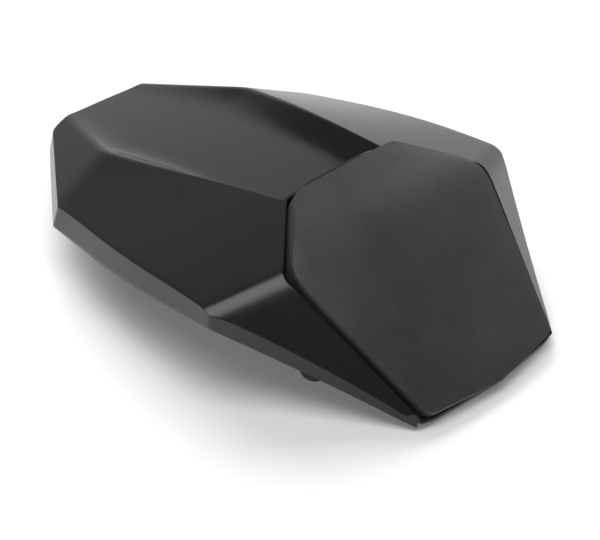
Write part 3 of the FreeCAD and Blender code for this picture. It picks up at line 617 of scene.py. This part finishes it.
# The backrest pad, in millimetres: a closed form that starts a little small and is then blown up
pad = {
    # outline, seen along the pull: its gap to the rim, its foot as (y, z) and its corners' radii
    "gap": 2.3, "foot": (0.5, 6.0), "footBow": 7.0, "corners": (9.0, 16.0, 8.0),
    # how far it stands above the rim, and how much fuller it is under the header
    "proud": 2.7, "topReach": 1.8, "topRise": 2.2, "topFrom": (94.0, 121.0), "bendSoft": 9.0,
    # skirt round the board: its width, the board's thickness, front edge and rise over each slope
    "skirt": 1.7, "board": 4.6, "boardFront": 15.7, "boardRise": (1.3, 1.03), "clear": 0.42,
    # rolled rim: edges sharper than the angle (degrees) that lie near the top
    "rollAngle": 40.0, "rollDepth": 1.0, "roll": 0.9,
    # swelling: the start is this much smaller, what lies near the board is held, moves are capped
    "smaller": 0.6, "heldDepth": 0.6, "cap": 0.5, "pressure": 4.0, "frames": 20,
    "smoothTurns": 3, "smoothShare": 0.25,
    # rows of the upper face, which stand closer together towards its edges
    "across": 18, "along": 34, "crowding": 1.35,
}


def padOutline(inset, foot, bow, reach=0.0):  # right half of the pad's outline, seen along the pull
    low, corner, top = rimCorners
    runOn = 3  # the side runs on past the foot by this many recess depths, to be cut off there
    right = [low + (low - corner).normalized() * cowl["recessDepth"] * runOn, corner, top]
    ring = right + [Vector((-p.x, p.y)) for p in reversed(right)]
    moved = spread(ring, [-inset] * len(ring))[:3]
    line = (moved[1] - moved[0]).normalized()
    moved[0] = moved[1] - line * ((moved[1].y - foot) / line.y)
    moved[2].y += reach
    corners = [Vector((0, foot - bow))] + moved + [Vector((0, moved[2].y))]
    return roundedPath(corners, [0, *pad["corners"], 0])


def footLine(y, z):
    return y * math.cos(pull) + z * math.sin(pull)


outerFoot = footLine(*pad["foot"]) + pad["smaller"]
outerOutline = padOutline(pad["gap"] + pad["smaller"], outerFoot, pad["footBow"], pad["topReach"])
boardLine = footLine(pad["boardFront"], recessFloor(pad["boardFront"]) + pad["board"])
innerOutline = padOutline(pad["gap"] + pad["skirt"], boardLine, 0.0)


def padPatch(outline, s, t):  # (x, v) inside an outline: s runs outwards, t runs up
    foot, top = outline[0][0], outline[0][-1]
    footEdge, side = pointAlong(outline, 0, 1, s), pointAlong(outline, 1, 3, t)
    topEdge, middle = pointAlong(outline, 3, 4, 1.0 - s), mix(foot, top, t)
    footCorner, topCorner = pointAlong(outline, 0, 1, 1.0), pointAlong(outline, 3, 4, 0.0)
    corners = mix(mix(foot, footCorner, s), mix(top, topCorner, s), t)
    return mix(middle, side, s) + mix(footEdge, topEdge, t) - corners


def padTop(x, y):  # half of what the soft bend takes off is given back
    lift = pad["proud"] - pad["smaller"] + pad["topRise"] * smoothStep(y, *pad["topFrom"])
    return backrestHeight(x, y, lift, pad["bendSoft"]) + pad["bendSoft"] / 8


def padBottom(x, y):
    return recessFloor(y) + pad["clear"]


def overBoard(x, y):
    return recessFloor(y) + pad["board"] * pad["boardRise"][y >= cowl["bend"][0]]


acrossPad = eased(pad["across"], pad["crowding"])
alongPad = bothEnds(pad["along"], pad["crowding"])
rimSteps = [(s, 0.0) for s in acrossPad] + [(1.0, t) for t in alongPad[1:]]
rimSteps += [(s, 1.0) for s in reversed(acrossPad[:-1])]
sideShares = [0.0, 0.3, 0.65, 1.0]
skirtShares = [0.35, 0.7, 1.0]


def padTopPlace(i, j):
    flat = padPatch(outerOutline, acrossPad[i], alongPad[j])
    return onSurface(flat.x, flat.y, padTop)


def padUnderPlace(i, j):
    flat = padPatch(innerOutline, acrossPad[i], alongPad[j])
    return onSurface(flat.x, flat.y, overBoard)


def padSidePlace(i, j):  # down the side, in along the skirt and up to the board's top
    outer, inner = padPatch(outerOutline, *rimSteps[j]), padPatch(innerOutline, *rimSteps[j])
    if i < len(sideShares):
        top = onSurface(outer.x, outer.y, padTop)
        return mix(top, onSurface(outer.x, outer.y, padBottom), sideShares[i])
    if i < len(sideShares) + len(skirtShares):
        flat = mix(outer, inner, skirtShares[i - len(sideShares)])
        return onSurface(flat.x, flat.y, padBottom)
    return onSurface(inner.x, inner.y, overBoard)


def makePad():
    bm = bmesh.new()
    gridSheet(bm, pad["across"], pad["along"], padTopPlace)
    gridSheet(bm, pad["across"], pad["along"], padUnderPlace)
    gridSheet(bm, len(sideShares) + len(skirtShares), len(rimSteps) - 1, padSidePlace)
    closeHalf(bm)
    rim = []
    for edge in bm.edges:
        middle = (edge.verts[0].co + edge.verts[1].co) / 2
        lowest = (padTop(middle.x / mm, middle.y / mm - datumY) - pad["rollDepth"]) * mm
        if edge.calc_face_angle(0.0) > math.radians(pad["rollAngle"]) and middle.z > lowest:
            rim.append(edge)
    roundEdges(bm, rim, pad["roll"], segments=4)
    print("pad faces", len(bm.faces), "open edges", sum(edge.is_boundary for edge in bm.edges))
    return makePiece("pad_cover", bm, "backrest_pad")


def swell(piece):  # the foam fills its cover: pressure inside, the underside held by the board
    held = piece.vertex_groups.new(name="held")
    start = [vertex.co.copy() for vertex in piece.data.vertices]
    under = set()
    for vertex in piece.data.vertices:
        x, y = vertex.co.x / mm, vertex.co.y / mm - datumY
        if vertex.co.z < (overBoard(x, y) + pad["heldDepth"]) * mm:
            under.add(vertex.index)
    held.add(list(under), 1.0, "REPLACE")
    cloth = piece.modifiers.new("swell", "CLOTH")
    cloth.settings.vertex_group_mass = "held"
    cloth.settings.use_pressure = True
    cloth.settings.uniform_pressure_force = pad["pressure"]
    cloth.settings.effector_weights.gravity = 0.0
    for frameNumber in range(1, pad["frames"] + 1):
        bpy.context.scene.frame_set(frameNumber)
    swollen = piece.evaluated_get(bpy.context.evaluated_depsgraph_get()).data
    moves = [new.co - old for new, old in zip(swollen.vertices, start)]
    print("pressure moves the pad by up to", max(move.length for move in moves) / mm, "mm")
    piece.modifiers.remove(cloth)
    cap = pad["cap"] * mm
    for vertex, old, move in zip(piece.data.vertices, start, moves):
        vertex.co = old + move * (cap / (cap + move.length))
    bpy.context.scene.frame_set(1)
    bm = bmesh.new()
    bm.from_mesh(piece.data)
    free = [vertex for vertex in bm.verts if vertex.index not in under]
    for turn in range(pad["smoothTurns"]):
        bmesh.ops.smooth_vert(bm, verts=free, factor=pad["smoothShare"],
                              use_axis_x=True, use_axis_y=True, use_axis_z=True)
    bm.to_mesh(piece.data)
    bm.free()


padCover = makePad()
swell(padCover)
smooth = padCover.modifiers.new("smooth", "SUBSURF")
smooth.levels = smooth.render_levels = 1
print("pad made")


# Camera, from the photograph's perspective: millimetres and degrees, focal length in pixels
view = {
    "place": (-565.9, -415.8, 567.7), "turn": -44.67, "down": 35.0,
    "focal": 1537.5, "width": 600.0, "sensor": 36.0,
}


def makeCamera():
    data = bpy.data.cameras.new("camera")
    camera = bpy.data.objects.new("camera", data)
    bpy.context.scene.collection.objects.link(camera)
    camera.location = inFrame(*view["place"])
    turn, down = math.radians(view["turn"]), math.radians(view["down"])
    flat = math.cos(down)
    ahead = Vector((-math.sin(turn) * flat, math.cos(turn) * flat, -math.sin(down)))
    camera.rotation_mode = "QUATERNION"
    camera.rotation_quaternion = ahead.to_track_quat("-Z", "Y")
    data.sensor_width = view["sensor"]
    data.lens = view["focal"] * data.sensor_width / view["width"]
    data.clip_start = 0.01
    bpy.context.scene.camera = camera


makeCamera()


# Node groups that several finishes share. The two ends of a float mix are its inputs 2 and 3, those
# of a colour mix 6 and 7
def newGroup(name, inputs, outputs):
    group = bpy.data.node_groups.new(name, "ShaderNodeTree")
    for label, kind, value in inputs:
        socket = group.interface.new_socket(label, in_out="INPUT", socket_type=kind)
        if value is not None:
            socket.default_value = value
    for label in outputs:
        group.interface.new_socket(label, in_out="OUTPUT", socket_type="NodeSocketFloat")
    return group, group.nodes.new("NodeGroupInput"), group.nodes.new("NodeGroupOutput")


def newNode(tree, kind, settings=(), values=()):
    node = tree.nodes.new(kind)
    for key, value in dict(settings).items():
        setattr(node, key, value)
    for key, value in dict(values).items():
        node.inputs[key].default_value = value
    return node


def makeFineGrain():  # moulded texture or leather grain: its height and a speckle of its tone
    inputs = [("Vector", "NodeSocketVector", None), ("Scale", "NodeSocketFloat", 1000.0),
              ("Cells", "NodeSocketFloat", 0.3)]
    group, start, end = newGroup("fineGrain", inputs, ["Height", "Speckle"])
    join = group.links.new
    noise = newNode(group, "ShaderNodeTexNoise", values={"Detail": 3.0, "Roughness": 0.62})
    cells = newNode(group, "ShaderNodeTexVoronoi", {"feature": "SMOOTH_F1"}, {"Smoothness": 0.6})
    blend = newNode(group, "ShaderNodeMix", {"data_type": "FLOAT"})
    stretch = newNode(group, "ShaderNodeMapRange", values={"From Min": 0.3, "From Max": 0.7})
    for node in (noise, cells):
        join(start.outputs["Vector"], node.inputs["Vector"])
        join(start.outputs["Scale"], node.inputs["Scale"])
    join(start.outputs["Cells"], blend.inputs[0])
    join(noise.outputs[0], blend.inputs[2])
    join(cells.outputs["Distance"], blend.inputs[3])
    join(blend.outputs[0], end.inputs["Height"])
    join(noise.outputs[0], stretch.inputs["Value"])
    join(stretch.outputs[0], end.inputs["Speckle"])
    return group


def makeSlowChange():  # broad uneven tone from handling and moulding
    inputs = [("Vector", "NodeSocketVector", None), ("Scale", "NodeSocketFloat", 12.0)]
    group, start, end = newGroup("slowChange", inputs, ["Change"])
    join = group.links.new
    noise = newNode(group, "ShaderNodeTexNoise", values={"Detail": 4.0, "Roughness": 0.55})
    stretch = newNode(group, "ShaderNodeMapRange", values={"From Min": 0.32, "From Max": 0.68})
    join(start.outputs["Vector"], noise.inputs["Vector"])
    join(start.outputs["Scale"], noise.inputs["Scale"])
    join(noise.outputs[0], stretch.inputs["Value"])
    join(stretch.outputs[0], end.inputs["Change"])
    return group


def makeEdgeWear():  # rubbed edges and painted edge highlights: lighter where the surface is sharply convex, broken up by noise
    inputs = [("Vector", "NodeSocketVector", None), ("Amount", "NodeSocketFloat", 0.3)]
    group, start, end = newGroup("edgeWear", inputs, ["Wear"])
    join = group.links.new
    shape = newNode(group, "ShaderNodeNewGeometry")
    edge = newNode(group, "ShaderNodeMapRange", values={"From Min": 0.53, "From Max": 0.62})
    noise = newNode(group, "ShaderNodeTexNoise", values={"Scale": 140.0, "Detail": 4.0})
    broken = newNode(group, "ShaderNodeMapRange", values={"From Min": 0.35, "From Max": 0.65})
    both = newNode(group, "ShaderNodeMath", {"operation": "MULTIPLY"})
    scaled = newNode(group, "ShaderNodeMath", {"operation": "MULTIPLY"})
    join(shape.outputs["Pointiness"], edge.inputs["Value"])
    join(start.outputs["Vector"], noise.inputs["Vector"])
    join(noise.outputs[0], broken.inputs["Value"])
    join(edge.outputs[0], both.inputs[0])
    join(broken.outputs[0], both.inputs[1])
    join(both.outputs[0], scaled.inputs[0])
    join(start.outputs["Amount"], scaled.inputs[1])
    join(scaled.outputs[0], end.inputs["Wear"])
    return group


fineGrain, slowChange, edgeWear = makeFineGrain(), makeSlowChange(), makeEdgeWear()

# Finish of each slot: tones of the ground and of rubbed edges, range of roughness, and detail. On
# the cowl the lighter edge tone is painted highlight along its sharp edges; on the other parts it
# is rubbed wear
finishes = {
    "shell_plastic": {
        "name": "satinCowlPlastic", "metal": 0.0, "rough": (0.2, 0.29),
        "dark": (0.0095, 0.0095, 0.0098), "light": (0.0135, 0.0135, 0.014),
        # the lighter edge tone of the cowl is painted highlight along its sharp edges
        "wornAndHighlight": (0.035, 0.035, 0.036), "wearAndHighlight": 0.35,
        "grain": 1500.0, "cells": 0.25, "patch": 9.0, "bump": 0.1, "depth": 0.00006,
    },
    "pad_cover": {
        "name": "padLeather", "metal": 0.0, "rough": (0.42, 0.55),
        "dark": (0.026, 0.026, 0.027), "light": (0.062, 0.062, 0.063),
        "wornAndHighlight": (0.07, 0.07, 0.07), "wearAndHighlight": 0.25,
        "grain": 950.0, "cells": 0.6, "patch": 14.0, "bump": 0.5, "depth": 0.0003,
    },
    "board_plastic": {
        "name": "boardPlastic", "metal": 0.0, "rough": (0.5, 0.66),
        "dark": (0.03, 0.03, 0.03), "light": (0.045, 0.045, 0.043),
        "wornAndHighlight": (0.09, 0.09, 0.085), "wearAndHighlight": 0.5,
        "grain": 500.0, "cells": 0.1, "patch": 20.0, "bump": 0.15, "depth": 0.0002,
    },
    "tray_plastic": {
        "name": "trayPlastic", "metal": 0.0, "rough": (0.48, 0.62),
        "dark": (0.017, 0.017, 0.018), "light": (0.028, 0.028, 0.029),
        "wornAndHighlight": (0.06, 0.06, 0.06), "wearAndHighlight": 0.5,
        "grain": 700.0, "cells": 0.5, "patch": 16.0, "bump": 0.25, "depth": 0.0002,
    },
    "zinc": {
        "name": "zincPlate", "metal": 1.0, "rough": (0.26, 0.42),
        "dark": (0.47, 0.48, 0.5), "light": (0.6, 0.6, 0.59),
        "wornAndHighlight": (0.7, 0.69, 0.66), "wearAndHighlight": 0.6,
        "grain": 800.0, "cells": 0.7, "patch": 120.0, "bump": 0.12, "depth": 0.00008,
    },
    "dark_screw": {
        "name": "blackenedScrews", "metal": 0.85, "rough": (0.32, 0.48),
        "dark": (0.035, 0.035, 0.037), "light": (0.06, 0.06, 0.062),
        "wornAndHighlight": (0.3, 0.29, 0.28), "wearAndHighlight": 0.7,
        "grain": 900.0, "cells": 0.5, "patch": 90.0, "bump": 0.12, "depth": 0.00008,
    },
    "buffer_rubber": {
        "name": "bufferRubber", "metal": 0.0, "rough": (0.66, 0.84),
        "dark": (0.011, 0.011, 0.011), "light": (0.02, 0.02, 0.0195),
        "wornAndHighlight": (0.04, 0.04, 0.04), "wearAndHighlight": 0.4,
        "grain": 600.0, "cells": 0.4, "patch": 40.0, "bump": 0.3, "depth": 0.0003,
    },
}


speckleShare = 0.45  # how much of a finish's change is fine speckle; the rest is slow change


def makeFinish(look):
    material = bpy.data.materials.new(look["name"])
    material.use_nodes = True
    tree = material.node_tree
    join = tree.links.new
    shader = tree.nodes["Principled BSDF"]
    shader.inputs["Metallic"].default_value = look["metal"]
    place = newNode(tree, "ShaderNodeTexCoord")
    detail = {"Scale": look["grain"], "Cells": look["cells"]}
    grain = newNode(tree, "ShaderNodeGroup", {"node_tree": fineGrain}, detail)
    slow = newNode(tree, "ShaderNodeGroup", {"node_tree": slowChange}, {"Scale": look["patch"]})
    wearAndHighlight = newNode(tree, "ShaderNodeGroup", {"node_tree": edgeWear}, {"Amount": look["wearAndHighlight"]})
    for node in (grain, slow, wearAndHighlight):
        join(place.outputs["Object"], node.inputs["Vector"])
    blend = newNode(tree, "ShaderNodeMix", {"data_type": "FLOAT"}, {0: speckleShare})
    join(slow.outputs["Change"], blend.inputs[2])
    join(grain.outputs["Speckle"], blend.inputs[3])
    ends = {6: (*look["dark"], 1), 7: (*look["light"], 1)}
    tone = newNode(tree, "ShaderNodeMix", {"data_type": "RGBA"}, ends)
    join(blend.outputs[0], tone.inputs[0])
    # rubbed edges lighten the colour where the surface is sharp; on the cowl this lighter tone is
    # painted highlight
    wornAndHighlight = newNode(tree, "ShaderNodeMix", {"data_type": "RGBA"}, {7: (*look["wornAndHighlight"], 1)})
    join(wearAndHighlight.outputs["Wear"], wornAndHighlight.inputs[0])
    join(tone.outputs[2], wornAndHighlight.inputs[6])
    join(wornAndHighlight.outputs[2], shader.inputs["Base Color"])
    smoothest, roughest = look["rough"]
    rough = newNode(tree, "ShaderNodeMapRange", values={"To Min": smoothest, "To Max": roughest})
    join(blend.outputs[0], rough.inputs["Value"])
    join(rough.outputs[0], shader.inputs["Roughness"])
    relief = {"Strength": look["bump"], "Distance": look["depth"]}
    bump = newNode(tree, "ShaderNodeBump", values=relief)
    join(grain.outputs["Height"], bump.inputs["Height"])
    join(bump.outputs[0], shader.inputs["Normal"])
    return material


materials = {slot: makeFinish(look) for slot, look in finishes.items()}
slotOf = {
    "pad_board": "board_plastic", "base_pan": "tray_plastic", "pan_screws": "dark_screw",
    "buffers_front": "buffer_rubber", "buffers_rear": "buffer_rubber",
}
for name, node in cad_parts.items():
    for slot in node.material_slots:
        slot.material = materials[slotOf.get(name, "zinc")]
cowlSkin.data.materials.append(materials["shell_plastic"])
padCover.data.materials.append(materials["pad_cover"])
print("finishes made", len(materials))

# Studio: a white floor, a bright backdrop low behind the cowl, a soft box overhead that gives the
# crease its highlight, a strip on the right for the thin edges, and broad light from behind
studio = {
    # world: direction of the backdrop, strengths away from it and towards it, and its edge
    "backdrop": (0.77, 0.616, 0.166), "dark": 0.15, "bright": 0.67, "rise": (0.53, 1.0),
    # lamps: places and sizes in metres, angle in degrees, and their strengths
    "boxPlace": (-0.32, -0.26, 1.12), "boxSize": (0.9, 0.7), "boxPower": 7.0,
    "stripPlace": (1.1, 0.12, 0.6), "stripSize": (0.6, 0.25), "stripPower": 1.7,
    "aim": (0.0, 0.0, 0.05), "sunFrom": (0.3, 0.72, 0.62), "sunAngle": 46.0, "sunPower": 2.35,
    # floor
    "floorSize": 4.0, "floorTone": 0.95, "floorRough": 0.9, "floorGlow": 0.12,
}


def makeFloor():
    bm = bmesh.new()
    bmesh.ops.create_grid(bm, x_segments=1, y_segments=1, size=studio["floorSize"])
    mesh = bpy.data.meshes.new("floor")
    bm.to_mesh(mesh)
    bm.free()
    floor = bpy.data.objects.new("floor", mesh)
    bpy.context.scene.collection.objects.link(floor)
    paper = bpy.data.materials.new("floorPaper")
    paper.use_nodes = True
    tree = paper.node_tree
    shader = tree.nodes["Principled BSDF"]
    shader.inputs["Base Color"].default_value = (*[studio["floorTone"]] * 3, 1)
    shader.inputs["Roughness"].default_value = studio["floorRough"]
    shader.inputs["Specular IOR Level"].default_value = 0.0
    shader.inputs["Emission Strength"].default_value = studio["floorGlow"]
    rays = newNode(tree, "ShaderNodeLightPath")
    total = rays.outputs["Is Camera Ray"]
    for ray in ("Is Glossy Ray", "Is Transmission Ray"):
        added = newNode(tree, "ShaderNodeMath", {"operation": "ADD", "use_clamp": True})
        tree.links.new(total, added.inputs[0])
        tree.links.new(rays.outputs[ray], added.inputs[1])
        total = added.outputs[0]
    tree.links.new(total, shader.inputs["Emission Color"])
    mesh.materials.append(paper)


def makeWorld():  # bright towards the backdrop, dark elsewhere, and white to the camera
    world = bpy.data.worlds.new("studio")
    bpy.context.scene.world = world
    world.use_nodes = True
    tree = world.node_tree
    place = newNode(tree, "ShaderNodeTexCoord")
    towards = {1: studio["backdrop"]}
    facing = newNode(tree, "ShaderNodeVectorMath", {"operation": "DOT_PRODUCT"}, towards)
    levels = {"From Min": studio["rise"][0], "From Max": studio["rise"][1],
              "To Min": studio["dark"], "To Max": studio["bright"]}
    level = newNode(tree, "ShaderNodeMapRange", {"interpolation_type": "SMOOTHSTEP"}, levels)
    tree.links.new(place.outputs["Generated"], facing.inputs[0])
    tree.links.new(facing.outputs["Value"], level.inputs["Value"])
    rays = newNode(tree, "ShaderNodeLightPath")
    seen = newNode(tree, "ShaderNodeMix", {"data_type": "FLOAT"}, {3: 1.0})
    tree.links.new(rays.outputs["Is Camera Ray"], seen.inputs[0])
    tree.links.new(level.outputs[0], seen.inputs[2])
    tree.links.new(seen.outputs[0], tree.nodes["Background"].inputs["Strength"])
    tree.nodes["Background"].inputs["Color"].default_value = (1, 1, 1, 1)


def makeLamp(name, place, lampSize, power):
    lamp = bpy.data.lights.new(name, "AREA")
    lamp.shape = "RECTANGLE"
    lamp.size, lamp.size_y = lampSize
    lamp.energy = power
    holder = bpy.data.objects.new(name, lamp)
    bpy.context.scene.collection.objects.link(holder)
    holder.location = place
    holder.rotation_mode = "QUATERNION"
    holder.rotation_quaternion = (Vector(place) - Vector(studio["aim"])).to_track_quat("Z", "Y")
    holder.visible_camera = False


def makeSun():  # broad even light from behind the cowl, which throws the soft shadow forwards
    lamp = bpy.data.lights.new("sun", "SUN")
    lamp.energy = studio["sunPower"]
    lamp.angle = math.radians(studio["sunAngle"])
    holder = bpy.data.objects.new("sun", lamp)
    bpy.context.scene.collection.objects.link(holder)
    holder.rotation_mode = "QUATERNION"
    holder.rotation_quaternion = Vector(studio["sunFrom"]).to_track_quat("Z", "Y")
    holder.visible_glossy = False  # it lights the floor and leaves the reflections to the lamps


makeFloor()
makeWorld()
makeLamp("softbox", studio["boxPlace"], studio["boxSize"], studio["boxPower"])
makeLamp("strip", studio["stripPlace"], studio["stripSize"], studio["stripPower"])
makeSun()
bpy.context.scene.view_settings.view_transform = "Standard"
